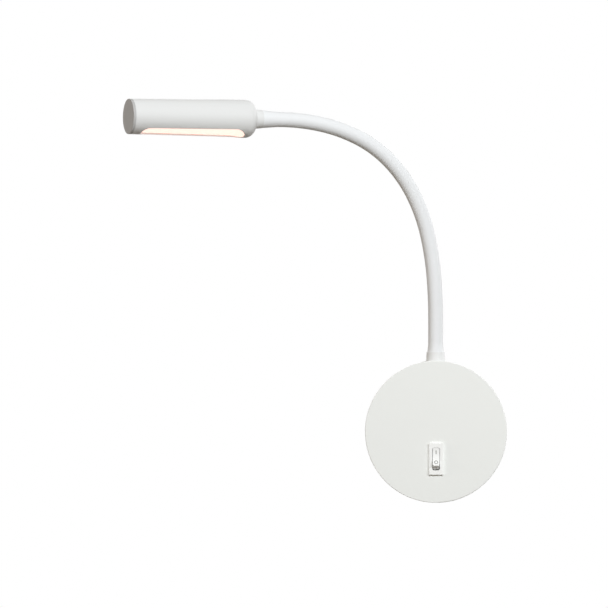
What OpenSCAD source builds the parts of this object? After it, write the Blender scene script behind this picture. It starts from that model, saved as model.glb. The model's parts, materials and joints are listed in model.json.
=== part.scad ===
// Flexible wall light: a round wall base with a rocker switch, a bendable neck and a slotted tubular head.
// The origin lies on the wall at the centre of the base. +Z is up, -Y points into the room.
// Sizes are millimetres and degrees.

/* [Base] */
// Diameter of the base cover
base_d = 100; // [90:1:130]
// How far the base cover stands out from the wall
base_depth = 26; // [25:0.5:36]
// Wall of the base cover
cover_wall = 1.5; // [1:0.1:2.4]
// Rounding of the cover's front edge
cover_edge_r = 0.5; // [0.3:0.1:3]
// Thickness of the wall bracket's plate
bracket_t = 1.5; // [1:0.1:3]
// Distance between the two fixing slots
fixing_spacing = 60; // [46:1:70]
// Width of a fixing slot
fixing_slot_w = 4.5; // [3.5:0.1:6]
// End-to-end length of a fixing slot
fixing_slot_len = 9; // [7:0.5:14]
// Bore of the cable bush
cable_bore_d = 11; // [7:0.5:14]
// Diameter of the two cover screws
cover_screw_d = 4; // [3:0.5:5]
// Length of a cover screw
cover_screw_len = 7; // [5:0.5:10]

/* [Switch] */
// Width of the switch bezel
bezel_w = 9.9; // [9:0.1:14]
// Height of the switch bezel
bezel_h = 22.2; // [21:0.1:28]
// How far the bezel stands proud of the cover
bezel_proud = 1.6; // [1:0.1:3]
// Drop from the base's centre to the switch's centre
switch_drop = 19.1; // [16:0.1:24]
// Width of the rocker
rocker_w = 4.8; // [4:0.1:5.4]
// Length of the rocker in its middle position
rocker_len = 13; // [10:0.1:13.2]
// Rounding of the rocker's corners
rocker_corner_r = 1.2; // [0.5:0.1:1.8]
// Tilt of the rocker to each side of its middle position
rocker_throw = 14; // [8:0.5:16]
// Depth of the rocker's pivot behind the bezel's face
pivot_depth = 5; // [4.5:0.1:6.5]
// Diameter of the rocker's pivot pin
pivot_pin_d = 2; // [1.5:0.1:2.6]

/* [Neck] */
// Outer diameter of the neck's sleeve
neck_d = 10.5; // [10.4:0.1:13]
// Wall of the sleeve
sleeve_wall = 0.8; // [0.6:0.1:1.2]
// Wall of the steel core
core_wall = 1.9; // [1.2:0.1:2.2]
// Diameter of the lead inside the core
lead_d = 4.4; // [3:0.1:4.8]
// Straight length of neck above the rim
neck_root_len = 29.8; // [26:0.1:40]
// Straight length of neck before the head
neck_tip_len = 21.3; // [20:0.1:30]
// Length of one bent length of neck
neck_link_len = 29.5; // [24:0.5:36]
// Distance from the wall to the neck's axis
neck_off = 13; // [12:0.5:16]
// Turn of the bent neck out from the wall
neck_swing = 20; // [0:1:60]

/* [Head] */
// Length of the head with its end cap
head_len = 92.3; // [85:0.1:120]
// Diameter of the head at its shoulder
head_d = 26.6; // [26:0.1:32]
// Diameter of the head at its free end
head_end_d = 24.6; // [24:0.1:26.6]
// Wall of the head shell
head_wall = 1.6; // [1.2:0.1:2]
// Rounding of the head's shoulder
shoulder_r = 7; // [4:0.1:7.5]
// Turn of the head about its own axis, towards the room
head_roll = 19; // [-30:1:40]
// Width of the light slot at its shoulder end
slot_w = 14.8; // [12:0.1:16]
// Width of the light slot at its free end
slot_end_w = 12; // [10:0.1:15]
// Distance from the light slot to the shoulder's face
slot_shoulder_gap = 8.8; // [8.6:0.1:20]
// Distance from the light slot to the free end
slot_end_gap = 4.7; // [4.6:0.1:8]
// Depth of the diffuser below the slot's lips
diffuser_recess = 1.3; // [0.6:0.1:1.8]
// Thickness of the end cap's flange
cap_t = 1.8; // [1:0.1:2]
// Number of LED chips
led_count = 8; // [4:1:10]

/* [Clearances] */
// Gap between neighbouring lengths of neck
flex_gap = 0.3; // [0.2:0.05:0.5]
// Gap of a piece slid into its seat
slide_gap = 0.15; // [0.05:0.05:0.3]
// Gap of the rocker in its opening
rocker_gap = 0.3; // [0.2:0.05:0.4]
// Gap of a pin or screw in its hole
pin_gap = 0.05; // [0.02:0.01:0.1]

/* [Hidden] */
$fn = 64;
// Overlap of joined shapes, and how far a cut runs on past a face
eps = 0.01;
over = 1;

// Bend of each bent length of neck, from the base up
neck_angles = [5, 8.5, 14, 17.5, 19.5, 14, 11];
link_count = len(neck_angles);

// Base
base_r = base_d / 2;
inner_r = base_r - cover_wall;
rim_gap = 0.3;
bracket_edge_gap = 4.5;
bracket_d = 2 * (inner_r - bracket_edge_gap);
tab_w = 10;
tab_len = 12;
tab_gap = 0.6;
tab_x = inner_r - tab_gap;
screw_out = 8;
screw_sink = 0.2;
hex_key = cover_screw_d / 2;
bush_wall = 1.9;
bush_flange = 2.5;
bush_flange_t = 1.5;
bush_r = cable_bore_d / 2 + bush_wall;

// Inside the base
driver_h = 46;
driver_t = 16;
driver_r = 2;
driver_edge_gap = 4;
driver_bush_gap = 4;
driver_back = -sqrt(pow(inner_r - driver_edge_gap, 2) - pow(driver_h / 2, 2));
driver_face = -(bush_r + bush_flange + driver_bush_gap);
driver_w = driver_face - driver_back;
driver_x = (driver_face + driver_back) / 2;
driver_top = driver_h / 2;
ear_w = 12;
ear_h = 6;
ear_t = 2;
ear_z = driver_top + ear_h / 2;
small_screw_d = 3;
small_head_d = 5.6;
small_head_t = 2;
block_w = 17;
block_t = 13;
pole_pitch = 8;
pole_count = 3;
pole_gap = 1;
pole_gap_depth = 5;
block_h = pole_count * pole_pitch + 2 * pole_gap;
block_x = 23.5;
block_face = block_x - block_w / 2;
clamp_x = 5;
clamp_d = 3.4;
clamp_len = 3;
clamp_sink = 1;
entry_d = 3.2;
entry_rise = 5;
entry_out = bracket_t + entry_rise;
entry_depth = 2;
block_screw_d = 2.5;
block_head_d = 4;
block_head_t = 1.6;
earth_pos = base_r * [0.4, 0.54];
earth_d = 4;
earth_head_d = 7;
earth_head_t = 2.4;
earth_washer_d = 9;
earth_washer_t = 0.8;
screw_slot_w = 0.7;
screw_slot_depth = 0.8;
wire_d = 2.2;
wire_end_gap = 0.2;

// Switch
switch_lip = 0.95;
switch_body_w = bezel_w - 2 * switch_lip;
switch_end_lip = 1.4;
switch_body_h = bezel_h - 2 * switch_end_lip;
switch_body_t = 13;
switch_back = base_depth - switch_body_t;
bezel_face = base_depth + bezel_proud;
well_w = rocker_w + 2 * rocker_gap;
pivot_y = bezel_face - pivot_depth;
rocker_root = 3;
rocker_waist = 10;
rocker_chin = 4.4;
pin_inset = 0.3;
well_len = 2 * (tip_along(rocker_len / 2, pivot_depth) + rocker_gap / 2);
well_floor = pivot_y - rocker_root - rocker_waist * sin(rocker_throw) / 2 - rocker_gap;
blade_w = 4.8;
blade_t = 0.8;
blade_len = 7;
blade_z = 5;
blade_tip = switch_back - blade_len;

// Neck fittings
stem_d = 9.8;
stem_len = 12;
head_stem_len = 9;
nut_af = 13;
nut_t = 4.5;
washer_t = 1;
neck_r = neck_d / 2;
core_r = neck_r - sleeve_wall - slide_gap;
core_bore = core_r - core_wall;
stem_bore = core_bore;
barb_wall = 0.65;
barb_r = core_r + pin_gap + barb_wall;
barb_len = 4;
barb_ramp = 0.6;
flare_len = 5.6;
flare_r = barb_r + pin_gap + sleeve_wall;
base_collar_h = 6;
base_collar_step = 0.2;
base_collar_flare = 0.8;
base_collar_r = flare_r + base_collar_step;
base_collar_foot_r = base_collar_r + base_collar_flare;
head_flare_len = 12;
head_flare = 0.4;
head_flare_r = flare_r + head_flare;
head_collar_h = 5.5;
head_collar_step = 0.1;
head_collar_flare = 0.5;
head_collar_r = head_flare_r + head_collar_step;
head_collar_foot_r = head_collar_r + head_collar_flare;
core_seat = 2;
saddle_sink = 0.8;
washer_margin = 1;
washer_r = nut_af / 2 + washer_margin;
washer_z = sqrt(pow(inner_r, 2) - pow(washer_r, 2));

// Neck joints: each length ends in a ball that turns in the hollow end of the length below it
ball_step = 0.8;
ball_r = neck_r + ball_step;
hollow_r = ball_r + flex_gap;

// Head
head_r = head_d / 2;
head_end_r = head_end_d / 2;
head_inner_end_r = head_end_r - head_wall;
slot_near = slot_shoulder_gap + slot_w / 2;
slot_far = head_len - slot_end_gap - slot_end_w / 2;
slot_arc_steps = 24;
spigot_len = 1.8;
spigot_wall = 1.6;
head_washer_r = head_r - shoulder_r - slide_gap;
flange_w = 0.8;
flange_t = 1;
flange_top = least_chord(2 * flange_w, head_wall) - flex_gap;
diffuser_top = least_chord(0, 0) - diffuser_recess;
carrier_wall = 2;
carrier_face = 1.5;
carrier_r = head_inner_end_r - slide_gap;
carrier_start = 12;
carrier_end = head_len - cap_t - spigot_len;
board_w = 14;
board_t = 1.6;
board_margin = 1;
board_len = carrier_end - carrier_start - 2 * board_margin;
board_mid = (carrier_start + carrier_end) / 2;
chip_size = [0.8, 2.8, 3.5];
chip_margin = 8;
board_screw_d = 2.4;
board_head_d = 4.4;
board_head_t = 1.5;
board_screw_inset = 3.5;
head_wire_d = 1.2;
board_top = carrier_face + board_t;

// Colours
paint = [0.91, 0.91, 0.9];
sleeve_white = [0.9, 0.9, 0.88];
switch_white = [0.95, 0.95, 0.94];
steel = [0.7, 0.72, 0.74];
zinc = [0.78, 0.8, 0.82];
brass = [0.8, 0.65, 0.3];
aluminium = [0.83, 0.84, 0.86];
rubber = [0.15, 0.15, 0.16];
moulded_grey = [0.85, 0.85, 0.83];
board_white = [0.96, 0.96, 0.95];
phosphor = [0.98, 0.85, 0.4];
opal = [1, 0.96, 0.88];
brown = [0.36, 0.2, 0.1];
blue = [0.15, 0.3, 0.75];
earth_green = [0.45, 0.65, 0.1];
red = [0.75, 0.08, 0.1];

// Ways the wires take through the base, and one of the pair in the head
block_end = block_face + entry_depth;
driver_end = driver_face + wire_end_gap;
blade_end = blade_tip - wire_d / 2 - wire_end_gap;
earth_reach = earth_pos.x - earth_head_d / 2 - wire_end_gap;
earth_rise = bracket_t + earth_washer_t + wire_d / 2 + wire_end_gap;
lead_start = base_r - stem_len - wire_end_gap;
head_wire_start = head_stem_len + wire_end_gap;
head_wire_lift = 0.9;
head_wire_x = board_top + head_wire_lift;
live_route = [
    [block_end, -entry_out, -pole_pitch], [12, -entry_out, -9], [6, -5.5, -12],
    [0, -blade_end, blade_z - switch_drop]
];
switched_route = [
    [0, -blade_end, -blade_z - switch_drop], [-3, -5, -26], [-8, -6, -23], [driver_end + 3, -7, -19],
    [driver_end, -7, -18.5]
];
neutral_route = [
    [block_end, -entry_out, 0], [11, -7.5, 1], [2, -9, 4], [-8, -9, 5], [driver_end, -9, 5]
];
earth_route = [
    [block_end, -entry_out, pole_pitch], [12, -entry_out, 10], [9, -6, 18],
    [earth_reach - 7, -4.5, earth_pos.y - 3], [earth_reach - 3, -earth_rise, earth_pos.y],
    [earth_reach, -earth_rise, earth_pos.y]
];
lead_route = [
    [0, -neck_off, lead_start], [0, -neck_off, lead_start - 2.5], [0, -neck_off, lead_start - 5],
    [-7, -12, driver_top + 7],
    [driver_x + 5, -11, driver_top + 8], [driver_x, -10, driver_top + 5],
    [driver_x, -10, driver_top + wire_end_gap]
];
head_route = [
    [0, 1, head_wire_start], [0.1, 1, head_wire_start + 0.7], [0.6, 1, 10.5], [1.4, 1.1, 11],
    [2.3, 1.2, 11.4], [3.2, 1.4, 11.9], [3.8, 1.8, 12.5], [head_wire_x, 2.3, 13.3], [head_wire_x, 3.2, 14.2]
];

// Height reached, at full throw, by a rocker corner that sits so far along and out from the pivot
function tip_along(along, out) =
    let (rise = out + along * tan(rocker_throw))
    along * cos(rocker_throw) + rise * sin(rocker_throw);

// Radius of the head at a place along it, and how far out from its axis a chord of it lies
function head_r_at(z) = head_r + (head_end_r - head_r) * (z - shoulder_r) / (head_len - cap_t - shoulder_r);
function chord_out(z, width, wall) = sqrt(pow(head_r_at(z) - wall, 2) - pow(width / 2, 2));

// The nearer of the chords across the light slot's two ends, each made wider by a margin
function least_chord(margin, wall) =
    min(chord_out(slot_near, slot_w + margin, wall), chord_out(slot_far, slot_end_w + margin, wall));

// Running sums of the neck's bends and of its chords in the plane it bends in
function total(list, count) = count == 0 ? 0 : list[count - 1] + total(list, count - 1);
function heading(joint) = total(neck_angles, joint);
function chord(bend) = bend == 0 ? neck_link_len : neck_link_len * sin(bend / 2) / (bend / 2 * PI / 180);
function joint_at(joint) =
    joint == 0
    ? [0, neck_root_len]
    : let (bend = neck_angles[joint - 1], way = heading(joint - 1) + bend / 2)
      joint_at(joint - 1) + chord(bend) * [sin(way), cos(way)];

// Smooth curve through a wire's points, and the tube that follows it
function bend_point(a, b, c, d, t) =
    0.5 * (2 * b + t * (c - a) + t * t * (2 * a - 5 * b + 4 * c - d) + t * t * t * (3 * b - a - 3 * c + d));
function smooth_route(route, steps = 4) = concat(
    [
        for (i = [0:len(route) - 2], k = [0:steps - 1])
        bend_point(
            route[max(i - 1, 0)], route[i], route[i + 1], route[min(i + 2, len(route) - 1)], k / steps
        )
    ],
    [route[len(route) - 1]]
);
function unit(v) = v / norm(v);
function along(route, path, i) =
    i == 0 ? unit(route[1] - route[0])
    : i == len(path) - 1 ? unit(route[len(route) - 1] - route[len(route) - 2])
    : unit(path[i + 1] - path[i - 1]);
function ring(route, path, i, r, sides) =
    let (
        ahead = along(route, path, i),
        side = unit(cross(ahead, abs(ahead.y) < 0.9 ? [0, 1, 0] : [1, 0, 0])),
        up = cross(side, ahead)
    )
    [for (k = [0:sides - 1]) path[i] + r * (cos(360 * k / sides) * side + sin(360 * k / sides) * up)];

module wire(route, d, sides = 8) {
    path = smooth_route(route);
    last = len(path) - 1;
    points = [for (i = [0:last]) each ring(route, path, i, d / 2, sides)];
    walls = [
        for (i = [0:last - 1], k = [0:sides - 1])
        let (a = i * sides + k, b = i * sides + (k + 1) % sides)
        each [[a, b, b + sides], [a, b + sides, a + sides]]
    ];
    caps = [
        for (k = [1:sides - 2])
        each [[0, k + 1, k], [last * sides, last * sides + k, last * sides + k + 1]]
    ];
    polyhedron(points, concat(walls, caps));
}

// Extrudes a front-view outline, X right and Z up, between two distances from the wall
module from_wall(near, far) {
    translate([0, -near, 0]) rotate([90, 0, 0]) linear_extrude(far - near) children();
}

// Drill along -Y at a point of the front view, between two distances from the wall
module drill(at, d, near, far) {
    from_wall(near, far) translate(at) circle(d = d);
}

// Outline with straight sides and full round ends, long along X
module round_slot(length, width) {
    square([length - width, width], center = true);
    for (side = [-1, 1]) translate([side * (length - width) / 2, 0]) circle(d = width);
}

// Rectangle with rounded corners
module round_rect(size, r) {
    square([size.x - 2 * r, size.y], center = true);
    square([size.x, size.y - 2 * r], center = true);
    for (x = [-1, 1], y = [-1, 1])
        translate([x * (size.x / 2 - r), y * (size.y / 2 - r)]) circle(r);
}

// Screw with a slotted cheese head, its shank pointing back to the wall
module slotted_screw(at, d, head_d, head_t, seat, tip) {
    drill(at, d, tip, seat + eps);
    difference() {
        drill(at, head_d, seat, seat + head_t);
        from_wall(seat + head_t - screw_slot_depth, seat + head_t + eps)
            translate(at) square([head_d + eps, screw_slot_w], center = true);
    }
}

module fixing_slots() {
    for (side = [-1, 1])
        translate([0, side * fixing_spacing / 2]) rotate(90) round_slot(fixing_slot_len, fixing_slot_w);
}

module wall_bracket() {
    color(steel) difference() {
        union() {
            from_wall(0, bracket_t) {
                circle(d = bracket_d);
                square([2 * tab_x, tab_w], center = true);
            }
            for (side = [-1, 1])
                from_wall(0, tab_len)
                    translate([side * (tab_x - bracket_t / 2), 0]) square([bracket_t, tab_w], center = true);
        }
        from_wall(-eps, bracket_t + eps) fixing_slots();
        drill([0, 0], 2 * (bush_r + slide_gap), -eps, bracket_t + eps);
        cover_screw_bore(cover_screw_d + 2 * pin_gap);
        for (z = [-ear_z, ear_z])
            drill([driver_x, z], small_screw_d + 2 * pin_gap, -eps, bracket_t + eps);
        for (z = block_screw_heights())
            drill([block_x, z], block_screw_d + 2 * pin_gap, -eps, bracket_t + eps);
        drill(earth_pos, earth_d + 2 * pin_gap, -eps, bracket_t + eps);
    }
}

module cover_screw_bore(d) {
    translate([0, -screw_out, 0]) rotate([0, 90, 0]) cylinder(d = d, h = base_d + 2 * over, center = true);
}

module cable_bush() {
    bore_r = cable_bore_d / 2;
    flange_r = bush_r + bush_flange;
    face = bracket_t + bush_flange_t;
    color(rubber) rotate([90, 0, 0]) rotate_extrude() polygon([
        [bore_r, 0], [bush_r, 0], [bush_r, bracket_t], [flange_r, bracket_t], [flange_r, face], [bore_r, face]
    ]);
}

module cover_profile() {
    difference() {
        union() {
            square([base_r - cover_edge_r, base_depth]);
            square([base_r, base_depth - cover_edge_r]);
            translate([base_r - cover_edge_r, base_depth - cover_edge_r]) circle(cover_edge_r);
        }
        translate([-eps, -eps]) square([inner_r + eps, base_depth - cover_wall + eps]);
        translate([-eps, -cover_edge_r]) square([base_d, cover_edge_r + rim_gap]);
    }
}

module base_cover() {
    color(paint) difference() {
        rotate([90, 0, 0]) rotate_extrude($fn = 128) difference() {
            cover_profile();
            translate([-base_d, -over]) square([base_d, base_d]);
        }
        from_wall(base_depth - 2 * cover_wall, base_depth + over)
            translate([0, -switch_drop])
                square([switch_body_w + 2 * slide_gap, switch_body_h + 2 * slide_gap], center = true);
        translate([0, -neck_off, 0]) cylinder(d = stem_d + 2 * slide_gap, h = base_d);
        cover_screw_bore(cover_screw_d + 2 * slide_gap);
    }
}

module cover_screws() {
    outer = base_r - screw_sink;
    color(zinc) for (turn = [0, 180])
        translate([0, -screw_out, 0]) rotate([0, 90, turn])
            translate([0, 0, outer - cover_screw_len]) difference() {
                cylinder(d = cover_screw_d, h = cover_screw_len);
                translate([0, 0, cover_screw_len / 2]) cylinder(d = hex_key, h = cover_screw_len, $fn = 6);
            }
}

module at_switch() {
    translate([0, -pivot_y, -switch_drop]) children();
}

// Side view of the rocker in its middle position: X is the way out into the room, Y is up, pivot at 0
module rocker_side() {
    half = rocker_len / 2;
    tip = pivot_depth + half * tan(rocker_throw);
    polygon([
        [pivot_depth, 0], [tip, half], [rocker_chin, half], [-rocker_root, rocker_waist / 2],
        [-rocker_root, -rocker_waist / 2], [rocker_chin, -half], [tip, -half]
    ]);
}

// Rocker with its upper end pressed in
module switch_rocker() {
    pin_len = switch_body_w - 2 * pin_inset;
    color(switch_white) at_switch() rotate([-rocker_throw, 0, 0]) {
        intersection() {
            rotate([90, 0, -90]) linear_extrude(rocker_w, center = true) rocker_side();
            rotate([90, 0, 0]) linear_extrude(4 * pivot_depth, center = true)
                round_rect([rocker_w, rocker_len], rocker_corner_r);
        }
        rotate([0, 90, 0]) cylinder(d = pivot_pin_d, h = pin_len, center = true);
    }
}

module switch_housing() {
    color(switch_white) difference() {
        union() {
            from_wall(base_depth, bezel_face)
                translate([0, -switch_drop]) square([bezel_w, bezel_h], center = true);
            from_wall(switch_back, base_depth)
                translate([0, -switch_drop]) square([switch_body_w, switch_body_h], center = true);
        }
        from_wall(well_floor, bezel_face + over)
            translate([0, -switch_drop]) round_rect([well_w, well_len], rocker_corner_r + rocker_gap);
        at_switch() rotate([0, 90, 0])
            cylinder(d = pivot_pin_d + 2 * pin_gap, h = switch_body_w + 2 * eps, center = true);
        for (side = [-1, 1]) blade(side, switch_back + blade_t + slide_gap, slide_gap);
    }
}

// One terminal blade, from the wall side up to a depth inside the switch body
module blade(side, far, grow) {
    from_wall(switch_back - blade_len, far)
        translate([0, -switch_drop + side * blade_z])
            square([blade_w + 2 * grow, blade_t + 2 * grow], center = true);
}

module switch_terminals() {
    color(brass) for (side = [-1, 1]) blade(side, switch_back + blade_t, 0);
}

module driver_case() {
    color(moulded_grey) difference() {
        union() {
            from_wall(bracket_t, bracket_t + driver_t)
                translate([driver_x, 0]) round_rect([driver_w, driver_h], driver_r);
            from_wall(bracket_t, bracket_t + ear_t)
                translate([driver_x, 0]) square([ear_w, driver_h + 2 * ear_h], center = true);
        }
        for (z = [-ear_z, ear_z])
            drill([driver_x, z], small_screw_d + 2 * slide_gap, bracket_t - eps, bracket_t + ear_t + eps);
    }
}

module driver_screws() {
    color(zinc) for (z = [-ear_z, ear_z])
        slotted_screw([driver_x, z], small_screw_d, small_head_d, small_head_t, bracket_t + ear_t, 0);
}

function block_screw_heights() = [-pole_pitch / 2, pole_pitch / 2];
function pole_heights() = [for (i = [0:pole_count - 1]) (i - (pole_count - 1) / 2) * pole_pitch];

module terminal_block() {
    top = bracket_t + block_t;
    color(moulded_grey) difference() {
        from_wall(bracket_t, top) translate([block_x, 0]) square([block_w, block_h], center = true);
        for (z = block_screw_heights()) {
            from_wall(top - pole_gap_depth, top + eps)
                translate([block_x, z]) square([block_w + over, pole_gap], center = true);
            drill([block_x, z], block_screw_d + 2 * slide_gap, bracket_t - eps, top + eps);
            drill([block_x, z], block_head_d + 2 * slide_gap, top - pole_gap_depth, top + eps);
        }
        for (z = pole_heights()) {
            for (side = [-1, 1])
                drill([block_x + side * clamp_x, z], clamp_d + 2 * pin_gap, entry_out, top + eps);
            translate([block_x, -entry_out, z]) rotate([0, 90, 0])
                cylinder(d = entry_d, h = block_w + over, center = true);
        }
    }
}

module terminal_screws() {
    top = bracket_t + block_t - clamp_sink;
    color(brass) for (z = pole_heights(), side = [-1, 1])
        difference() {
            drill([block_x + side * clamp_x, z], clamp_d, top - clamp_len, top);
            from_wall(top - screw_slot_depth, top + eps)
                translate([block_x + side * clamp_x, z])
                    square([clamp_d + over, screw_slot_w], center = true);
        }
}

module block_screws() {
    seat = bracket_t + block_t - pole_gap_depth;
    color(zinc) for (z = block_screw_heights())
        slotted_screw([block_x, z], block_screw_d, block_head_d, block_head_t, seat, 0);
}

module earth_washer() {
    color(zinc) difference() {
        drill(earth_pos, earth_washer_d, bracket_t, bracket_t + earth_washer_t);
        drill(earth_pos, earth_d + 2 * slide_gap, bracket_t - eps, bracket_t + earth_washer_t + eps);
    }
}

module earth_screw() {
    color(brass)
        slotted_screw(earth_pos, earth_d, earth_head_d, earth_head_t, bracket_t + earth_washer_t, 0);
}

// Places the rising neck: local Z goes up the neck, local X is the side it bends to
module at_rim() {
    translate([0, -neck_off, 0]) rotate([0, 0, 180 + neck_swing]) children();
}

// Places a joint of the neck: local Z is the way the neck runs on
module at_joint(joint) {
    place = joint_at(joint);
    at_rim() translate([place.x, 0, base_r + place.y]) rotate([0, heading(joint), 0]) children();
}

// Places the head: local Z runs from its shoulder to its free end, local X faces out of the light slot
module at_head() {
    at_joint(link_count) translate([0, 0, neck_tip_len]) rotate([0, 0, head_roll]) children();
}

// Bent rod of one neck length, with the straight start that reaches back into its ball
module bent_rod(bend, r, back) {
    sweep_r = neck_link_len / (bend * PI / 180);
    translate([sweep_r, 0, 0]) rotate([90, 0, 180]) rotate_extrude(angle = bend, $fn = 128)
        translate([sweep_r, 0]) circle(r);
    translate([0, 0, -back]) cylinder(r = r, h = back);
}

// One bent length of a neck layer: a ball end at its own joint, hollow where the next ball sits
module neck_link(link, r, bore) {
    at_joint(link - 1) difference() {
        bent_rod(neck_angles[link - 1], r, ball_r);
        if (bore > 0) bent_rod_bore(neck_angles[link - 1], bore);
        ball_trim();
        at_link_end(link) sphere(hollow_r);
    }
}

// The bore runs on a little past both ends of the rod
module bent_rod_bore(bend, r) {
    bent_rod(bend, r, ball_r + over);
}

// Everything of a straight start that lies outside the ball
module ball_trim() {
    difference() {
        translate([0, 0, -2 * ball_r]) cylinder(r = 2 * ball_r, h = 2 * ball_r);
        sphere(ball_r);
    }
}

// Places the far end of a bent length, seen from its own joint
module at_link_end(link) {
    bend = neck_angles[link - 1];
    reach = chord(bend);
    translate([reach * sin(bend / 2), 0, reach * cos(bend / 2)]) rotate([0, bend, 0]) children();
}

// Flared sleeve end over a fitting's barb, as a profile that starts at the collar and runs up the neck
module flared_wall(length, mouth_r, flare) {
    polygon([
        [barb_r + pin_gap, 0], [mouth_r, 0], [neck_r, flare], [neck_r, length],
        [neck_r - sleeve_wall, length], [neck_r - sleeve_wall, barb_len + barb_ramp],
        [barb_r + pin_gap, barb_len + pin_gap]
    ]);
}

module root_sleeve() {
    at_rim() translate([0, 0, base_r + base_collar_h]) difference() {
        rotate_extrude() flared_wall(neck_root_len - base_collar_h, flare_r, flare_len);
        translate([0, 0, neck_root_len - base_collar_h]) sphere(hollow_r);
    }
}

module root_rod(r, bore, start) {
    at_rim() translate([0, 0, base_r]) difference() {
        translate([0, 0, start]) cylinder(r = r, h = neck_root_len - start);
        if (bore > 0) translate([0, 0, start - over]) cylinder(r = bore, h = neck_root_len + 2 * over);
        translate([0, 0, neck_root_len]) sphere(hollow_r);
    }
}

module tip_sleeve() {
    length = neck_tip_len - head_collar_h;
    at_joint(link_count) difference() {
        translate([0, 0, length]) mirror([0, 0, 1]) rotate_extrude()
            flared_wall(length + ball_r, head_flare_r, head_flare_len);
        ball_trim();
    }
}

module tip_rod(r, bore, end) {
    at_joint(link_count) difference() {
        translate([0, 0, -ball_r]) cylinder(r = r, h = ball_r + end);
        if (bore > 0) translate([0, 0, -ball_r - over]) cylinder(r = bore, h = ball_r + end + 2 * over);
        ball_trim();
    }
}

// Sleeve of one length of neck; 0 grips the base fitting and the last grips the head fitting
module neck_sleeve(i) {
    color(sleeve_white) {
        if (i == 0) root_sleeve();
        else if (i == link_count + 1) tip_sleeve();
        else neck_link(i, neck_r, neck_r - sleeve_wall);
    }
}

module neck_core(i) {
    color(steel) {
        if (i == 0) root_rod(core_r, core_bore, core_seat);
        else if (i == link_count + 1) tip_rod(core_r, core_bore, neck_tip_len - core_seat);
        else neck_link(i, core_r, core_bore);
    }
}

module neck_lead(i) {
    color(rubber) {
        if (i == 0) root_rod(lead_d / 2, 0, -stem_len);
        else if (i == link_count + 1) tip_rod(lead_d / 2, 0, neck_tip_len + head_stem_len);
        else neck_link(i, lead_d / 2, 0);
    }
}

// Half section of a neck fitting: collar, barb up into the sleeve, threaded stem down; Y runs up the neck
module fitting_section(foot_r, top_r, height, stem, sink = 0) {
    polygon([
        [stem_bore, -stem], [stem_d / 2, -stem], [stem_d / 2, -sink], [foot_r, -sink], [top_r, height],
        [barb_r, height], [barb_r, height + barb_len], [core_r + pin_gap, height + barb_len],
        [core_r + pin_gap, core_seat], [stem_bore, core_seat]
    ]);
}

// The collar's foot is a saddle that follows the curve of the rim
module base_fitting() {
    color(paint) difference() {
        at_rim() translate([0, 0, base_r]) rotate_extrude()
            fitting_section(base_collar_foot_r, base_collar_r, base_collar_h, stem_len, saddle_sink);
        difference() {
            from_wall(0, base_depth) circle(base_r, $fn = 128);
            translate([0, -neck_off, 0]) cylinder(d = stem_d + slide_gap, h = base_d);
        }
    }
}

module lock_nut(stem) {
    difference() {
        cylinder(d = nut_af / cos(30), h = nut_t, $fn = 6);
        translate([0, 0, -over]) cylinder(d = stem + 2 * pin_gap, h = nut_t + 2 * over);
    }
}

module flat_washer(r, bore) {
    difference() {
        cylinder(r = r, h = washer_t);
        translate([0, 0, -over]) cylinder(d = bore, h = washer_t + 2 * over);
    }
}

module base_washer() {
    color(zinc) translate([0, -neck_off, washer_z - washer_t]) flat_washer(washer_r, stem_d + 2 * slide_gap);
}

module base_nut() {
    color(zinc) translate([0, -neck_off, washer_z - washer_t - nut_t]) lock_nut(stem_d);
}

module head_fitting() {
    color(paint) at_joint(link_count) translate([0, 0, neck_tip_len]) mirror([0, 0, 1]) rotate_extrude()
        fitting_section(head_collar_foot_r, head_collar_r, head_collar_h, head_stem_len);
}

module head_washer() {
    color(zinc) at_head() translate([0, 0, head_wall]) flat_washer(head_washer_r, stem_d + 2 * slide_gap);
}

module head_nut() {
    color(zinc) at_head() translate([0, 0, head_wall + washer_t]) lock_nut(stem_d);
}

// Half section of the head, shoulder at 0, shrunk by a wall on all sides
module head_section(wall, length) {
    round = shoulder_r - wall;
    side = head_r - wall;
    polygon([
        [0, wall], [side - round, wall], [side, shoulder_r], [head_end_r - wall, length], [0, length]
    ]);
    translate([side - round, shoulder_r]) circle(round);
}

// Round end of the light slot, from one of its straight lips to the other
function slot_arc(z, r, first, turn) = [
    for (k = [0:slot_arc_steps])
    let (angle = first + turn * k / slot_arc_steps)
    [r * cos(angle) - z, r * sin(angle)]
];

// Outline of the light slot, seen from outside, grown on all sides
module slot_outline(grow) {
    lean = asin((slot_w - slot_end_w) / (2 * (slot_far - slot_near)));
    polygon(concat(
        slot_arc(slot_near, slot_w / 2 + grow, -90 - lean, 180 + 2 * lean),
        slot_arc(slot_far, slot_end_w / 2 + grow, 90 + lean, 180 - 2 * lean)
    ));
}

// Extrudes an outline out through the light slot, between two distances from the head's axis
module out_of_slot(near, far) {
    rotate([0, 90, 0]) translate([0, 0, near]) linear_extrude(far - near) children();
}

module head_shell() {
    length = head_len - cap_t;
    color(paint) at_head() difference() {
        rotate_extrude($fn = 128) intersection() {
            difference() {
                head_section(0, length);
                head_section(head_wall, length + over);
            }
            square([head_d, length]);
        }
        translate([0, 0, -over]) cylinder(d = stem_d + 2 * slide_gap, h = head_wall + 2 * over);
        out_of_slot(0, head_d) slot_outline(0);
    }
}

module end_cap() {
    r = head_inner_end_r - slide_gap;
    color(paint) at_head() {
        translate([0, 0, head_len - cap_t]) cylinder(r = head_end_r, h = cap_t);
        translate([0, 0, head_len - cap_t - spigot_len]) difference() {
            cylinder(r = r, h = spigot_len);
            translate([0, 0, -over]) cylinder(r = r - spigot_wall, h = spigot_len + over);
        }
    }
}

module carrier_d(r, face) {
    intersection() {
        circle(r);
        translate([-2 * r, -r]) square([2 * r + face, 2 * r]);
    }
}

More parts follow.
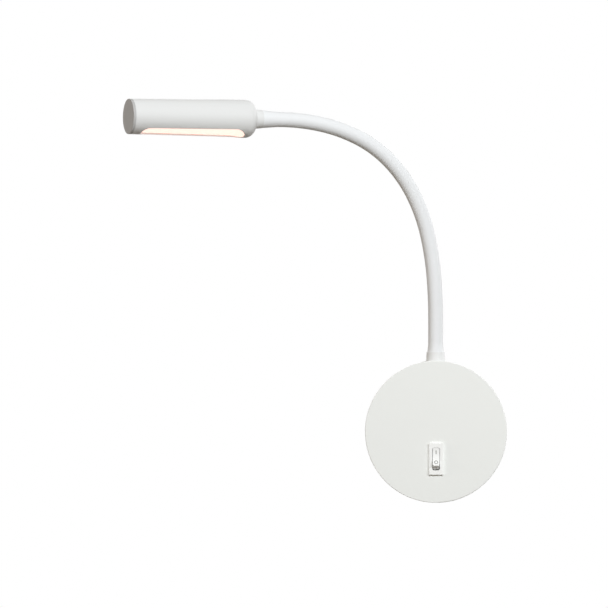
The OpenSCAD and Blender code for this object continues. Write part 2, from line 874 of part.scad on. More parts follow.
module led_carrier() {
    color(aluminium) at_head() difference() {
        translate([0, 0, carrier_start]) linear_extrude(carrier_end - carrier_start) difference() {
            carrier_d(carrier_r, carrier_face);
            carrier_d(carrier_r - carrier_wall, carrier_face - carrier_wall);
        }
        for (z = board_screw_places())
            out_of_slot_at(z, board_screw_d + 2 * pin_gap, -carrier_wall, carrier_face + over);
    }
}

function board_screw_places() =
    [for (side = [-1, 1]) board_mid + side * (board_len / 2 - board_screw_inset)];

// Round bar or bore square to the LED board
module out_of_slot_at(z, d, near, far) {
    out_of_slot(near, far) translate([-z, 0]) circle(d = d);
}

module led_board() {
    color(board_white) at_head() difference() {
        translate([carrier_face, -board_w / 2, board_mid - board_len / 2])
            cube([board_t, board_w, board_len]);
        for (z = board_screw_places())
            out_of_slot_at(z, board_screw_d + 2 * slide_gap, carrier_face - over, board_top + over);
    }
}

module led_chips() {
    span = board_len - 2 * chip_margin;
    color(phosphor) at_head() for (i = [0:led_count - 1])
        translate([
            board_top, -chip_size.y / 2,
            board_mid - span / 2 + i * span / (led_count - 1) - chip_size.z / 2
        ]) cube(chip_size);
}

module board_screws() {
    color(zinc) at_head() for (z = board_screw_places()) {
        out_of_slot_at(z, board_screw_d, carrier_face - carrier_wall, board_top + eps);
        out_of_slot_at(z, board_head_d, board_top, board_top + board_head_t);
    }
}

module diffuser() {
    color(opal) at_head() {
        out_of_slot(flange_top - eps, diffuser_top) slot_outline(-slide_gap);
        out_of_slot(flange_top - flange_t, flange_top) slot_outline(flange_w);
    }
}

module live_wire() {
    color(brown) wire(live_route, wire_d);
}

module switched_wire() {
    color(brown) wire(switched_route, wire_d);
}

module neutral_wire() {
    color(blue) wire(neutral_route, wire_d);
}

module earth_wire() {
    color(earth_green) wire(earth_route, wire_d);
}

module driver_lead() {
    color(rubber) wire(lead_route, lead_d);
}

module head_wires() {
    color(red) at_head() for (side = [-1, 1])
        wire([for (point = head_route) [point.x, side * point.y, point.z]], head_wire_d);
}

wall_bracket();
cable_bush();
base_cover();
cover_screws();
switch_housing();
switch_rocker();
switch_terminals();
driver_case();
driver_screws();
terminal_block();
terminal_screws();
block_screws();
earth_screw();
earth_washer();
live_wire();
switched_wire();
neutral_wire();
earth_wire();
driver_lead();
base_fitting();
base_washer();
base_nut();
for (i = [0:link_count + 1]) {
    neck_sleeve(i);
    neck_core(i);
    neck_lead(i);
}
head_fitting();
head_washer();
head_nut();
head_shell();
end_cap();
led_carrier();
led_board();
led_chips();
board_screws();
head_wires();
diffuser();
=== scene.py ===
import json
import math

import bpy
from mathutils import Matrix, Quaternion, Vector


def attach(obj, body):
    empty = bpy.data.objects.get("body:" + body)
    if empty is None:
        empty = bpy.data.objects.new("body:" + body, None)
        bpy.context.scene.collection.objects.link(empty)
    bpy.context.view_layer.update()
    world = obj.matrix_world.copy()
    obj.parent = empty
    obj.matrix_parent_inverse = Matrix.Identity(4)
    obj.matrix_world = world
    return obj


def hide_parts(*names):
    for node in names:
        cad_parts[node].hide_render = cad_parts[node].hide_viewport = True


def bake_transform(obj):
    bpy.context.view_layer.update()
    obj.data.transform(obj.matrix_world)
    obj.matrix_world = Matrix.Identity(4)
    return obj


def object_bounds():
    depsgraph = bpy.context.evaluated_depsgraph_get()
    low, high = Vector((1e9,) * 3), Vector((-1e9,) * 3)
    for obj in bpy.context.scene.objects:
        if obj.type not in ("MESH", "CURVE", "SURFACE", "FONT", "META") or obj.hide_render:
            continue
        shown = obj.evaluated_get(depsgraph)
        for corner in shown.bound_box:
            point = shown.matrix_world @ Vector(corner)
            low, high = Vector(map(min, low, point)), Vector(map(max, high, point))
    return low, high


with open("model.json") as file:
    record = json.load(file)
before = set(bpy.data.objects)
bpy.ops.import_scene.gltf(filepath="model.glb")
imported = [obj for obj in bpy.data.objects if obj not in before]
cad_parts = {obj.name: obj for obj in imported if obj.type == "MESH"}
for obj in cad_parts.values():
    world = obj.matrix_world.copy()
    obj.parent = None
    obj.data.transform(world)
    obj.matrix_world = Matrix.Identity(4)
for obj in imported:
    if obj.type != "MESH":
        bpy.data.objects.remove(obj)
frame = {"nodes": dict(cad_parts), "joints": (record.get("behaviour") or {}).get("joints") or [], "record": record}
cad_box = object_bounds()

MM = 0.001

# Camera: square on to the wall, far off, level with the middle of the light
CAMERA_PLACE = Vector((-93, -4026, 90)) * MM
CAMERA_RANGE = 4000 * MM
VIEW_WIDTH = 428.2 * MM
CAMERA_REACH = 20
SENSOR = 36

# Light: a soft key from the front, a fill from the right, weaker lamps above, left and behind, and a dim room
KEY_WAY = Vector((0.07, -0.83, 0.55)).normalized()
KEY_POWER = 47
FILL_WAY = Vector((0.6, -0.75, 0.3)).normalized()
FILL_POWER = 30
TOP_WAY = Vector((0.1, 0.45, 0.89)).normalized()
TOP_POWER = 7
LEFT_WAY = Vector((-0.95, -0.2, 0.1)).normalized()
LEFT_POWER = 12
BACK_WAY = Vector((0.8, 0.58, 0.15)).normalized()
BACK_POWER = 26
REAR_WAY = Vector((-0.45, 0.8, 0.4)).normalized()
REAR_POWER = 18
LAMP_SIZE = 0.8
LAMP_RANGE = 2.6
LAMP_COLOUR = (0.935, 0.97, 1)
LEFT_COLOUR = (1, 0.91, 0.83)
ROOM_COLOUR = (0.105, 0.078, 0.045)
FLOOR_DROP = 2400 * MM
FLOOR_SIZE = 3
FLOOR_SHOWN = 0.75

# Neck
NECK_R = 5.25 * MM
SLEEVE_WALL = 0.8 * MM
BASE_FLARE_R = 5.85 * MM
BASE_FLARE_LEN = 5.6 * MM
HEAD_FLARE_R = 6.25 * MM
HEAD_FLARE_LEN = 12 * MM
RIM_R = 50 * MM
BASE_COLLAR_H = 6 * MM
HEAD_COLLAR_H = 5.5 * MM
TIP_LEN = 21.3 * MM
CORE_R = 4.3 * MM
CORE_BORE = 2.4 * MM
CORE_GROOVE = 0.35 * MM
CORE_SEAT = 2 * MM
LEAD_R = 2.2 * MM
BASE_STEM = 12 * MM
HEAD_STEM = 9 * MM
RING_STEP = 1.45 * MM
HALF_LINK_STEPS = 10
SEAM_MARGIN = 1.5 * MM
SLEEVE_SIDES = 48
CORE_SIDES = 32
LEAD_SIDES = 24

# Light slot, measured along the head from its shoulder's face
HEAD_R = 13.34 * MM
HEAD_END_R = 12.5 * MM
SHOULDER_R = 7 * MM
HEAD_ROLL = math.radians(19)
SLOT_R = 7.4 * MM
SLOT_NEAR = 16.2 * MM
SLOT_HOLD = 55 * MM
SLOT_FAR = 81.6 * MM
SLOT_END = 87.6 * MM
CAP_SEAT = 90.5 * MM
SLOT_PULL = 3 * MM
FLANGE_TOP = 9 * MM
DIFFUSER_RECESS = 1.3 * MM
END_RECESS = 0.5 * MM
RISE_FROM = 18 * MM
RISE_TO = 9.5 * MM
RISE_CUTS = (18, 16.8, 15.6, 14.4, 13.2, 12, 11, 10.2, 9.5)

# Edges rounded on the moulded and turned pieces
EDGE_WIDTHS = {
    "switch_housing": 0.35 * MM,
    "switch_rocker": 0.3 * MM,
    "head_shell": 0.2 * MM,
    "diffuser": 0.1 * MM,
    "end_cap": 0.15 * MM,
    "base_cover": 0.2 * MM,
    "base_fitting": 0.1 * MM,
}
EDGE_CUTS = 2
EDGE_ANGLE = math.radians(35)
COPLANAR = math.radians(0.2)
SAME_SURFACE = math.cos(math.radians(6))
MERGE = 0.001 * MM

# Cover's wall, which draws in a little towards the wall behind, and the collar on it
COVER_FRONT = -25.5 * MM
COVER_WALL_R = 49.4 * MM
COVER_DRAFT = 0.55 * MM
SEAT_HALF = 8 * MM
SEAT_FADE = 6 * MM
COLLAR_INSIDE = 5.5 * MM
COLLAR_STEP = 0.3 * MM

# Skirts that close the rocker's well at both of its ends, measured from the rocker's pivot
ROCKER_TILT = math.radians(14)
SKIRT_R = 7.8 * MM
SKIRT_CORNER_R = 1.2 * MM
SKIRT_TOP = 4.3 * MM
SKIRT_FOOT = -1.5 * MM
SKIRT_INSIDE = 5 * MM
SKIRT_CUTS = (3.4, 2.2, 1, -0.2, -1.4)
SKIRT_SIDE_CUTS = (-1.9, -1.2, 1.2, 1.9)

# Marks on the rocker: a bar on its upper half and a ring on its lower half
MARK_LIFT = 0.06 * MM
MARK_LINE = 0.6 * MM
MARK_LONG = 2.8 * MM
BAR_CORNER = 0.45 * MARK_LINE
BAR_CORNER_CUTS = 4
RING_SIDES = 40
BAR_PLACE = Vector((0, -27.45, -14.4)) * MM
BAR_WAY = Vector((0, -1, 0))
RING_PLACE = Vector((0, -29.3, -21.36)) * MM
RING_WAY = Vector((0, -0.883, 0.47))

# Grain and drift of the finishes: noise scales, how far the gloss spreads, and how deep the grain is
DRIFT_SCALE = 45
CLOUD_SCALE = 120
OPAL_PATCHES = 60
COAT_SPREAD = 0.12
METAL_SPREAD = 0.2
COAT_GRAIN = 0.05 * MM
METAL_GRAIN = 0.04 * MM
METAL_BUMP = 0.12
WIRE_GRAIN = 0.03 * MM
OPAL_STRENGTH = 1.15
CHIP_STRENGTH = 1.5
STRIPE_SCALE = 120
STRIPE_EDGE = 0.62


class Shade:
    """A socket of a node tree. Arithmetic on it adds Math nodes, and node() adds any other."""

    def __init__(self, tree, socket=None):
        self.tree = tree
        self.socket = socket

    def node(self, kind, settings=None, inputs=None, output=0):
        made = self.tree.nodes.new(kind)
        for name, value in (settings or {}).items():
            setattr(made, name, value)
        for name, value in (inputs or {}).items():
            if isinstance(value, Shade):
                self.tree.links.new(value.socket, made.inputs[name])
            else:
                made.inputs[name].default_value = value
        return Shade(self.tree, made.outputs[output] if made.outputs else None)

    def math(self, operation, first, second):
        return self.node("ShaderNodeMath", {"operation": operation}, {0: first, 1: second})

    def mix(self, first, second):
        """Goes from one colour to another as this value goes from 0 to 1."""
        ends = {0: self, 6: (*first, 1), 7: (*second, 1)}
        return self.node("ShaderNodeMix", {"data_type": "RGBA"}, ends, output=2)

    def __add__(self, other):
        return self.math("ADD", self, other)

    def __mul__(self, other):
        return self.math("MULTIPLY", self, other)

    def __gt__(self, other):
        return self.math("GREATER_THAN", self, other)


def srgb(red, green, blue):
    """Linear colour of an 8-bit screen colour."""
    return tuple(((value / 255 + 0.055) / 1.055) ** 2.4 for value in (red, green, blue))


def new_finish(name):
    material = bpy.data.materials.new(name)
    material.use_nodes = True
    material.node_tree.nodes.clear()
    tree = Shade(material.node_tree)
    return material, tree, tree.node("ShaderNodeTexCoord", output="Object")


def close_finish(tree, inputs):
    surface = tree.node("ShaderNodeBsdfPrincipled", inputs=inputs)
    tree.node("ShaderNodeOutputMaterial", inputs={"Surface": surface})


def noise(place, scale, detail=3):
    return place.node("ShaderNodeTexNoise", inputs={"Vector": place, "Scale": scale, "Detail": detail})


def stretched(place, scale):
    """Coordinates squeezed along one axis or more, for a grain that runs one way."""
    return place.node("ShaderNodeVectorMath", {"operation": "MULTIPLY"}, {0: place, 1: scale})


def raised(height, strength, depth):
    return height.node("ShaderNodeBump", inputs={"Strength": strength, "Distance": depth, "Height": height})


def coated(name, colour, drift, rough, grain, bump, extra=None):
    """Paint, plastic or rubber: a colour that drifts a little, uneven gloss and a fine raised grain."""
    material, tree, place = new_finish(name)
    fine = noise(place, grain, 4)
    darker = tuple(channel * (1 - drift) for channel in colour)
    close_finish(
        tree,
        {
            "Base Color": noise(place, DRIFT_SCALE).mix(darker, colour),
            "Roughness": fine * COAT_SPREAD + (rough - COAT_SPREAD / 2),
            "Normal": raised(fine, bump, COAT_GRAIN),
            **(extra or {}),
        },
    )
    return material


def metal(name, colour, rough, grain, drift=0.12):
    """Bare metal: the grain runs one way, and the colour and gloss are uneven."""
    material, tree, place = new_finish(name)
    lines = noise(stretched(place, grain), 1, 4)
    cloud = noise(place, CLOUD_SCALE)
    darker = tuple(channel * (1 - drift) for channel in colour)
    close_finish(
        tree,
        {
            "Base Color": cloud.mix(darker, colour),
            "Metallic": 1,
            "Roughness": lines * METAL_SPREAD + (rough - METAL_SPREAD / 2),
            "Normal": raised(lines, METAL_BUMP, METAL_GRAIN),
        },
    )
    return material


def opal():
    """Lit diffuser: warm white, a little warmer and dimmer in patches between the chips behind it."""
    material, tree, place = new_finish("opal_diffuser")
    patches = noise(place, OPAL_PATCHES, 1)
    close_finish(
        tree,
        {
            "Base Color": patches.mix((0.9, 0.86, 0.78), (0.94, 0.91, 0.85)),
            "Roughness": noise(place, 2500) * 0.1 + 0.4,
            "Emission Color": patches.mix((1.0, 0.6, 0.52), (1.0, 0.64, 0.56)),
            "Emission Strength": OPAL_STRENGTH,
        },
    )
    return material


def phosphor():
    material, tree, place = new_finish("chip_phosphor")
    speckle = noise(place, 3000)
    close_finish(
        tree,
        {
            "Base Color": speckle.mix((0.9, 0.62, 0.12), (0.95, 0.74, 0.25)),
            "Roughness": speckle * 0.2 + 0.25,
            "Emission Color": speckle.mix((1.0, 0.8, 0.5), (1.0, 0.9, 0.7)),
            "Emission Strength": CHIP_STRENGTH,
        },
    )
    return material


def striped_wire():
    """Green wire with a yellow stripe that winds round it."""
    material, tree, place = new_finish("earth_wire_insulation")
    band = place.node(
        "ShaderNodeTexWave",
        {"bands_direction": "DIAGONAL"},
        {"Vector": place, "Scale": STRIPE_SCALE, "Distortion": 0.4},
        output="Fac",
    )
    fine = noise(place, 2000)
    close_finish(
        tree,
        {
            "Base Color": (band > STRIPE_EDGE).mix(srgb(40, 120, 45), srgb(225, 205, 40)),
            "Roughness": fine * 0.15 + 0.35,
            "Normal": raised(fine, 0.1, WIRE_GRAIN),
        },
    )
    return material


MATT = {"Specular IOR Level": 0.3}
FINISHES = {
    "white_paint": coated("white_powder_coat", srgb(233, 234, 231), 0.015, 0.55, 1100, 0.18, MATT),
    "head_paint": coated("white_head_coat", srgb(219, 219, 218), 0.015, 0.6, 1100, 0.18, MATT),
    # The end cap's coat is the head's white coat darkened to mid grey: painted shade for the cap's left-facing end
    # face
    "cap_painted_shade": coated("painted_shade_cap_coat", srgb(179, 178, 177), 0.015, 0.6, 1100, 0.18, MATT),
    "sleeve": coated("white_sleeve", srgb(228, 229, 230), 0.02, 0.65, 2600, 0.06, MATT),
    "switch_white": coated("white_switch_plastic", srgb(240, 240, 238), 0.01, 0.4, 900, 0.05),
    "rocker_white": coated("white_rocker_plastic", srgb(232, 232, 230), 0.01, 0.5, 900, 0.05),
    "opal": opal(),
    "bracket_steel": metal("bracket_steel", (0.55, 0.56, 0.58), 0.36, (900, 900, 40)),
    "core_steel": metal("core_steel", (0.45, 0.46, 0.48), 0.4, (600, 600, 600)),
    "zinc": metal("zinc_plate", (0.66, 0.68, 0.7), 0.32, (1500, 1500, 1500), 0.18),
    "brass": metal("brass", (0.72, 0.5, 0.18), 0.3, (1500, 1500, 1500)),
    "heat_sink": metal("heat_sink_aluminium", (0.72, 0.73, 0.75), 0.38, (60, 1500, 1500)),
    "moulded_grey": coated("moulded_grey", srgb(216, 216, 211), 0.04, 0.55, 1400, 0.25),
    "bush": coated("bush_rubber", srgb(42, 42, 44), 0.15, 0.68, 900, 0.3),
    "lead": coated("lead_sheath", srgb(36, 36, 38), 0.1, 0.5, 1200, 0.15),
    "brown_wire": coated("brown_wire_insulation", srgb(92, 52, 28), 0.1, 0.42, 1500, 0.1),
    "blue_wire": coated("blue_wire_insulation", srgb(40, 78, 180), 0.1, 0.42, 1500, 0.1),
    "earth_wire": striped_wire(),
    "red_wire": coated("red_wire_insulation", srgb(190, 24, 28), 0.1, 0.42, 1500, 0.1),
    "board": coated("board_lacquer", srgb(244, 244, 240), 0.03, 0.3, 700, 0.06),
    "chip": phosphor(),
    "mark_ink": coated("mark_ink", srgb(150, 150, 146), 0.05, 0.4, 900, 0.05),
}


def wear_finish(piece, finish):
    piece.data.materials.clear()
    piece.data.materials.append(FINISHES[finish])


def deselect():
    for other in bpy.context.selected_objects:
        other.select_set(False)


def start_piece(name):
    """An empty mesh in edit mode, ready for primitives."""
    deselect()
    piece = bpy.data.objects.new(name, bpy.data.meshes.new(name))
    bpy.context.scene.collection.objects.link(piece)
    bpy.context.view_layer.objects.active = piece
    piece.select_set(True)
    bpy.ops.object.mode_set(mode="EDIT")
    return piece


def apply_modifier(kind, settings):
    modifier = bpy.context.object.modifiers.new(kind.lower(), kind)
    for name, value in settings.items():
        setattr(modifier, name, value)
    bpy.ops.object.modifier_apply(modifier=modifier.name)


def finish_piece(finish, modifiers=()):
    """Leaves edit mode, applies modifiers, shades curved faces smooth and gives the finish."""
    bpy.ops.object.mode_set(mode="OBJECT")
    piece = bpy.context.object
    for kind, settings in modifiers:
        apply_modifier(kind, settings)
    bpy.ops.object.shade_smooth_by_angle(angle=EDGE_ANGLE)
    apply_modifier("WEIGHTED_NORMAL", {"keep_sharp": True})
    wear_finish(piece, finish)
    return piece


# The neck's own line: arcs from joint to joint, worked out from the joints' places
neck_joints = [joint for joint in frame["joints"] if joint["name"].startswith("neck_")]
joint_places = [Vector(joint["pos_m"]) for joint in neck_joints]
joint_ways = [Vector((0, 0, 1))]
for near, far in zip(joint_places, joint_places[1:]):
    chord = (far - near).normalized()
    joint_ways.append(2 * chord.dot(joint_ways[-1]) * chord - joint_ways[-1])


def arc_point(link, share):
    """Place and way of the neck at a share of a bent length, which runs between two joints."""
    start, end = joint_places[link], joint_places[link + 1]
    way, end_way = joint_ways[link], joint_ways[link + 1]
    bend = way.angle(end_way)
    across = (end_way - way.dot(end_way) * way).normalized()
    turn = bend * share
    radius = (end - start).length / (2 * math.sin(bend / 2))
    place = start + radius * (math.sin(turn) * way + (1 - math.cos(turn)) * across)
    return place, math.cos(turn) * way + math.sin(turn) * across


def stations(joint, base_reach, head_reach):
    """Places along the neck across one joint, from mid length to mid length, base or head."""
    last = len(joint_places) - 1
    line = []
    if joint == 0:
        foot = Vector((joint_places[0].x, joint_places[0].y, RIM_R + base_reach))
        count = round((joint_places[0] - foot).length / RING_STEP)
        line += [(foot.lerp(joint_places[0], k / count), joint_ways[0]) for k in range(count)]
    else:
        line += [arc_point(joint - 1, (1 + k / HALF_LINK_STEPS) / 2) for k in range(HALF_LINK_STEPS)]
    if joint == last:
        end = joint_places[last] + (TIP_LEN - head_reach) * joint_ways[last]
        count = round((end - joint_places[last]).length / RING_STEP)
        line += [(joint_places[last].lerp(end, k / count), joint_ways[last]) for k in range(count + 1)]
    else:
        line += [arc_point(joint, k / HALF_LINK_STEPS / 2) for k in range(HALF_LINK_STEPS + 1)]
    return line


def tube(name, line, radii, sides, open_ends=True):
    """Rings set along a line and bridged into a tube with its faces outwards, left in edit mode."""
    start_piece(name)
    for (place, way), radius in zip(line, radii):
        bpy.ops.mesh.primitive_circle_add(
            vertices=sides, radius=radius, location=place, rotation=way.to_track_quat("Z", "Y").to_euler()
        )
    bpy.ops.mesh.select_all(action="SELECT")
    bpy.ops.mesh.bridge_edge_loops()
    bpy.ops.mesh.select_all(action="DESELECT")
    bpy.ops.mesh.select_non_manifold()
    bpy.ops.mesh.edge_face_add()
    bpy.ops.mesh.select_all(action="SELECT")
    bpy.ops.mesh.normals_make_consistent(inside=False)
    if open_ends:
        bpy.ops.mesh.select_all(action="DESELECT")
        bpy.ops.mesh.select_face_by_sides(number=sides)
        bpy.ops.mesh.delete(type="ONLY_FACE")


def flex_across(piece, joint, line, layer):
    """Bakes a tube's place into its mesh and hides the rigid lengths of neck that it stands in for."""
    start = line[0][0] + SEAM_MARGIN * line[0][1]
    end = line[-1][0] - SEAM_MARGIN * line[-1][1]
    if joint == 0:
        start = joint_places[0] + (joint_places[0] - line[-1][0]).length * Vector((0, 0, -1))
    if joint == len(joint_places) - 1:
        reach = (joint_places[joint] - line[0][0]).length
        end = joint_places[joint] + reach * joint_ways[joint]
    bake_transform(piece)
    nodes = [f"neck_{layer}_{joint}"]
    if joint == len(joint_places) - 1:
        nodes.append(f"neck_{layer}_{joint + 1}")
    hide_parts(*nodes)


def sleeve_radius(joint, line, index):
    """The sleeve flares where it grips a collar."""
    if joint == 0:
        collar, mouth, run = line[0][0], BASE_FLARE_R, BASE_FLARE_LEN
    elif joint == len(joint_places) - 1:
        collar, mouth, run = line[-1][0], HEAD_FLARE_R, HEAD_FLARE_LEN
    else:
        return NECK_R
    from_collar = (line[index][0] - collar).length
    return NECK_R + (mouth - NECK_R) * max(0, 1 - from_collar / run)


def make_neck():
    for joint in range(len(joint_places)):
        line = stations(joint, BASE_COLLAR_H, HEAD_COLLAR_H)
        radii = [sleeve_radius(joint, line, k) for k in range(len(line))]
        tube(f"sleeve_{joint}", line, radii, SLEEVE_SIDES)
        wall = ("SOLIDIFY", {"thickness": SLEEVE_WALL, "offset": -1})
        flex_across(finish_piece("sleeve", [wall]), joint, line, "sleeve")

        line = stations(joint, CORE_SEAT, CORE_SEAT)
        radii = [CORE_R - CORE_GROOVE * (k % 2) for k in range(len(line))]
        tube(f"core_{joint}", line, radii, CORE_SIDES)
        wall = ("SOLIDIFY", {"thickness": CORE_R - CORE_BORE - CORE_GROOVE, "offset": -1})
        flex_across(finish_piece("core_steel", [wall]), joint, line, "core")

        line = stations(joint, -BASE_STEM, -HEAD_STEM)
        tube(f"lead_{joint}", line, [LEAD_R] * len(line), LEAD_SIDES, open_ends=False)
        flex_across(finish_piece("lead"), joint, line, "lead")


# The head's own line and the way out of its slot
head_foot = joint_places[-1] + TIP_LEN * joint_ways[-1]
head_way = joint_ways[-1]
head_down = (head_way.z * head_way - Vector((0, 0, 1))).normalized()
slot_way = Quaternion(head_way, HEAD_ROLL) @ head_down


def shorten_slot(piece):
    """Draws the slot's free end back towards the shoulder, and leaves the cap's seat where it is."""
    for vertex in piece.data.vertices:
        along = (vertex.co - head_foot).dot(head_way)
        ramp = (along - SLOT_HOLD) / (SLOT_FAR - SLOT_HOLD)
        rest = (CAP_SEAT - along) / (CAP_SEAT - SLOT_END)
        vertex.co -= SLOT_PULL * max(0, min(ramp, 1, rest)) * head_way


def raise_diffuser(piece):
    """Lifts the diffuser's face towards the lips at the shoulder end of the slot."""
    for vertex in piece.data.vertices:
        along = (vertex.co - head_foot).dot(head_way)
        out = (vertex.co - head_foot).dot(slot_way)
        if along < RISE_FROM and out > FLANGE_TOP:
            share = min(1, (RISE_FROM - along) / (RISE_FROM - RISE_TO))
            recess = DIFFUSER_RECESS + (END_RECESS - DIFFUSER_RECESS) * share * share * (3 - 2 * share)
            inwards = max(0, SLOT_NEAR - along)
            lips = math.sqrt(HEAD_R**2 - SLOT_R**2 + inwards**2)
            vertex.co += max(0, lips - recess - out) * slot_way


def head_normal(place):
    """Which way the smooth head faces at a place on its outside: a slight cone with a round shoulder."""
    along = (place - head_foot).dot(head_way)
    off = place - head_foot - along * head_way
    if along < SHOULDER_R:
        return (off - (HEAD_R - SHOULDER_R) * off.normalized() + (along - SHOULDER_R) * head_way).normalized()
    taper = (HEAD_R - HEAD_END_R) / (CAP_SEAT - SHOULDER_R)
    return (off.normalized() + taper * head_way).normalized()


def smooth_head(piece):
    """Shades the outside of the shell as one smooth surface up to the slot's lips."""
    mesh = piece.data
    normals = [corner.vector.copy() for corner in mesh.corner_normals]
    for face in mesh.polygons:
        for corner in face.loop_indices:
            way = head_normal(mesh.vertices[mesh.loops[corner].vertex_index].co)
            if face.normal.dot(way) > SAME_SURFACE:
                normals[corner] = way
    mesh.normals_split_custom_set(normals)


def draft_cover(piece):
    """Draws the cover's wall in towards its back, except at the collar's seat."""
    for vertex in piece.data.vertices:
        x, y, z = vertex.co
        radius = math.hypot(x, z)
        if radius > COVER_WALL_R and y > COVER_FRONT:
            clear = min(1, max(0, (abs(x) - SEAT_HALF) / SEAT_FADE)) if z > 0 else 1
            inwards = COVER_DRAFT * clear * (1 - y / COVER_FRONT)
            vertex.co -= inwards * Vector((x, 0, z)) / radius


def step_collar(piece):
    """Widens the base collar towards its top, so that it stands proud of the sleeve."""
    middle = joint_places[0]
    for vertex in piece.data.vertices:
        off = vertex.co - middle
        off.z = 0
        height = (vertex.co.z - RIM_R) / BASE_COLLAR_H
        if off.length > COLLAR_INSIDE and height > 0:
            vertex.co += COLLAR_STEP * height * off.normalized()


rocker_pivot = next(Vector(joint["pos_m"]) for joint in frame["joints"] if joint["name"] == "rocker_tilt")
rocker_out = Vector((0, -math.cos(ROCKER_TILT), math.sin(ROCKER_TILT)))
rocker_up = Vector((0, math.sin(ROCKER_TILT), math.cos(ROCKER_TILT)))


def skirt_rocker(piece):
    """Rounds the rocker's ends below its chin into skirts about the pivot that clear the well."""
    for vertex in piece.data.vertices:
        spot = vertex.co - rocker_pivot
        out, up = spot.dot(rocker_out), spot.dot(rocker_up)
        if SKIRT_FOOT < out < SKIRT_TOP and abs(up) > SKIRT_INSIDE:
            corner = min(SKIRT_CORNER_R, max(0, abs(spot.x) - SKIRT_CORNER_R))
            inset = SKIRT_CORNER_R - math.sqrt(SKIRT_CORNER_R**2 - corner**2)
            reach = math.sqrt(SKIRT_R**2 - out**2) - inset
            vertex.co += math.copysign(reach - abs(up), up) * rocker_up


def softened(node, body, finish, planes=(), reshapes=()):
    """A copy of a rigid node with its sharp edges rounded, in that node's place."""
    deselect()
    piece = frame["nodes"][node].copy()
    piece.data = piece.data.copy()
    piece.name = f"{node}_softened"
    piece.parent = None
    for key in list(piece.keys()):
        del piece[key]
    bpy.context.scene.collection.objects.link(piece)
    bpy.context.view_layer.objects.active = piece
    piece.select_set(True)
    bpy.ops.object.mode_set(mode="EDIT")
    bpy.ops.mesh.select_all(action="SELECT")
    bpy.ops.mesh.remove_doubles(threshold=MERGE)
    bpy.ops.mesh.dissolve_limited(angle_limit=COPLANAR)
    for place, way in planes:
        bpy.ops.mesh.select_all(action="SELECT")
        bpy.ops.mesh.bisect(plane_co=place, plane_no=way)
    bpy.ops.object.mode_set(mode="OBJECT")
    for reshape in reshapes:
        reshape(piece)
    bevel = {
        "width": EDGE_WIDTHS[node],
        "segments": EDGE_CUTS,
        "limit_method": "ANGLE",
        "angle_limit": EDGE_ANGLE,
    }
    finish_piece(finish, [("BEVEL", bevel)])
    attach(piece, body)
    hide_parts(node)
    return piece


def make_marks():
    """Thin rounded inlays, which stand a hair proud of the rocker."""
    proud = ("SOLIDIFY", {"thickness": MARK_LIFT, "offset": 1})
    start_piece("mark_bar")
    turn = BAR_WAY.to_track_quat("Z", "Y").to_euler()
    bpy.ops.mesh.primitive_plane_add(size=MARK_LONG, location=BAR_PLACE, rotation=turn)
    bpy.ops.transform.resize(value=(MARK_LINE / MARK_LONG, 1, 1), center_override=BAR_PLACE)
    bpy.ops.mesh.bevel(offset=BAR_CORNER, segments=BAR_CORNER_CUTS, affect="VERTICES")
    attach(finish_piece("mark_ink", [proud]), "rocker")

    start_piece("mark_ring")
    turn = RING_WAY.to_track_quat("Z", "Y").to_euler()
    for radius in (MARK_LONG / 2, MARK_LONG / 2 - MARK_LINE):
        bpy.ops.mesh.primitive_circle_add(
            vertices=RING_SIDES, radius=radius, location=RING_PLACE, rotation=turn
        )
    bpy.ops.mesh.select_all(action="SELECT")
    bpy.ops.mesh.bridge_edge_loops()
    bpy.ops.mesh.normals_make_consistent(inside=False)
    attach(finish_piece("mark_ink", [proud]), "rocker")


def make_camera():
    camera = bpy.data.cameras.new("camera")
    camera.sensor_width = SENSOR
    camera.lens = SENSOR * CAMERA_RANGE / VIEW_WIDTH
    camera.clip_end = CAMERA_REACH
    holder = bpy.data.objects.new("camera", camera)
    holder.location = CAMERA_PLACE
    holder.rotation_euler = (math.pi / 2, 0, 0)
    bpy.context.scene.collection.objects.link(holder)
    bpy.context.scene.camera = holder


def make_lamp(name, way, power, colour=LAMP_COLOUR):
    lamp = bpy.data.lights.new(name, "AREA")
    lamp.shape = "DISK"
    lamp.size = LAMP_SIZE
    lamp.energy = power
    lamp.color = colour
    holder = bpy.data.objects.new(name, lamp)
    middle = (cad_box[0] + cad_box[1]) / 2
    holder.location = middle + LAMP_RANGE * way
    holder.rotation_euler = way.to_track_quat("Z", "Y").to_euler()
    bpy.context.scene.collection.objects.link(holder)


def seen_directly(tree):
    """1 for rays that show a surface straight, mirrored or through glass, and 0 for other rays."""
    kinds = ("Camera", "Glossy", "Transmission")
    rays = [tree.node("ShaderNodeLightPath", output=f"Is {kind} Ray") for kind in kinds]
    return rays[0].math("MAXIMUM", rays[0], rays[1].math("MAXIMUM", rays[1], rays[2]))


def make_room():
    """White behind the light where it is seen, and a dim warm room for all other rays."""
    world = bpy.data.worlds.new("room")
    bpy.context.scene.world = world
    world.use_nodes = True
    world.node_tree.nodes.clear()
    tree = Shade(world.node_tree)
    colour = seen_directly(tree).mix(ROOM_COLOUR, (1, 1, 1))
    background = tree.node("ShaderNodeBackground", inputs={"Color": colour, "Strength": 1})
    tree.node("ShaderNodeOutputWorld", inputs={"Surface": background})


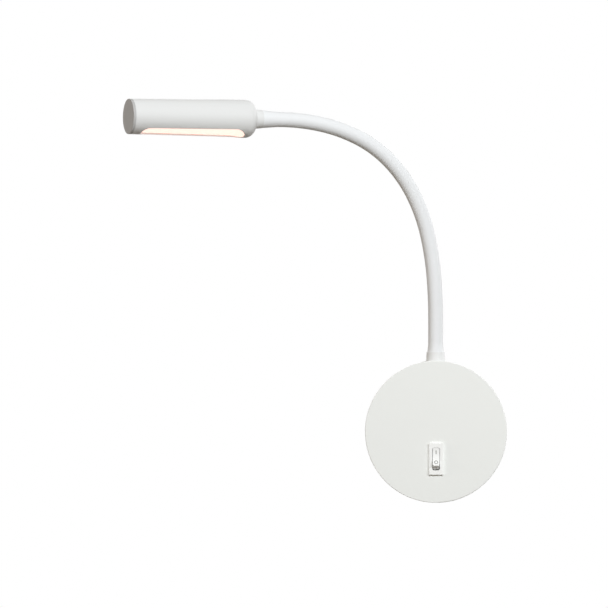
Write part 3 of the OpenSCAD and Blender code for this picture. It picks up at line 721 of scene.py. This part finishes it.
def floor_finish():
    """Pale floor, shown close to white, which keeps a part of the light and shade that falls on it."""
    material, tree, place = new_finish("pale_floor")
    cloud = noise(place, 3)
    colour = cloud.mix(srgb(234, 234, 232), srgb(240, 240, 238))
    rough = cloud * 0.1 + 0.65
    lit = tree.node("ShaderNodeBsdfPrincipled", inputs={"Base Color": colour, "Roughness": rough})
    shown = tree.node("ShaderNodeEmission", inputs={"Color": colour, "Strength": 1})
    share = seen_directly(tree) * FLOOR_SHOWN
    surface = tree.node("ShaderNodeMixShader", inputs={0: share, 1: lit, 2: shown})
    tree.node("ShaderNodeOutputMaterial", inputs={"Surface": surface})
    return material


def make_floor():
    deselect()
    bpy.ops.mesh.primitive_plane_add(size=FLOOR_SIZE, location=(0, 0, -FLOOR_DROP))
    floor = bpy.context.object
    floor.name = "floor"
    floor.data.materials.append(floor_finish())


make_camera()
make_lamp("key", KEY_WAY, KEY_POWER)
make_lamp("fill", FILL_WAY, FILL_POWER)
make_lamp("top", TOP_WAY, TOP_POWER)
make_lamp("left", LEFT_WAY, LEFT_POWER, LEFT_COLOUR)
make_lamp("back", BACK_WAY, BACK_POWER)
make_lamp("rear", REAR_WAY, REAR_POWER)
make_room()
make_floor()

slot_of = {entry["node"]: entry["material_slot"] for entry in frame["record"]["subparts"]}
for node_name, node_piece in frame["nodes"].items():
    wear_finish(node_piece, slot_of[node_name])
wear_finish(frame["nodes"]["head_fitting"], "head_paint")

make_neck()
softened("switch_housing", "base", "switch_white")
skirt_planes = [(rocker_pivot + cut * MM * rocker_out, rocker_out) for cut in SKIRT_CUTS]
skirt_planes += [(rocker_pivot + Vector((cut * MM, 0, 0)), Vector((1, 0, 0))) for cut in SKIRT_SIDE_CUTS]
softened("switch_rocker", "rocker", "rocker_white", skirt_planes, [skirt_rocker])
smooth_head(softened("head_shell", "head", "head_paint", reshapes=[shorten_slot]))
rise_planes = [(head_foot + cut * MM * head_way, head_way) for cut in RISE_CUTS]
softened("diffuser", "head", "opal", rise_planes, [shorten_slot, raise_diffuser])
# The end cap wears the darkened coat, painted shade standing in for the shade on its end face
softened("end_cap", "head", "cap_painted_shade")
softened("base_cover", "base", "white_paint", reshapes=[draft_cover])
softened("base_fitting", "base", "head_paint", reshapes=[step_collar])
make_marks()

bpy.context.scene.view_settings.view_transform = "Standard"
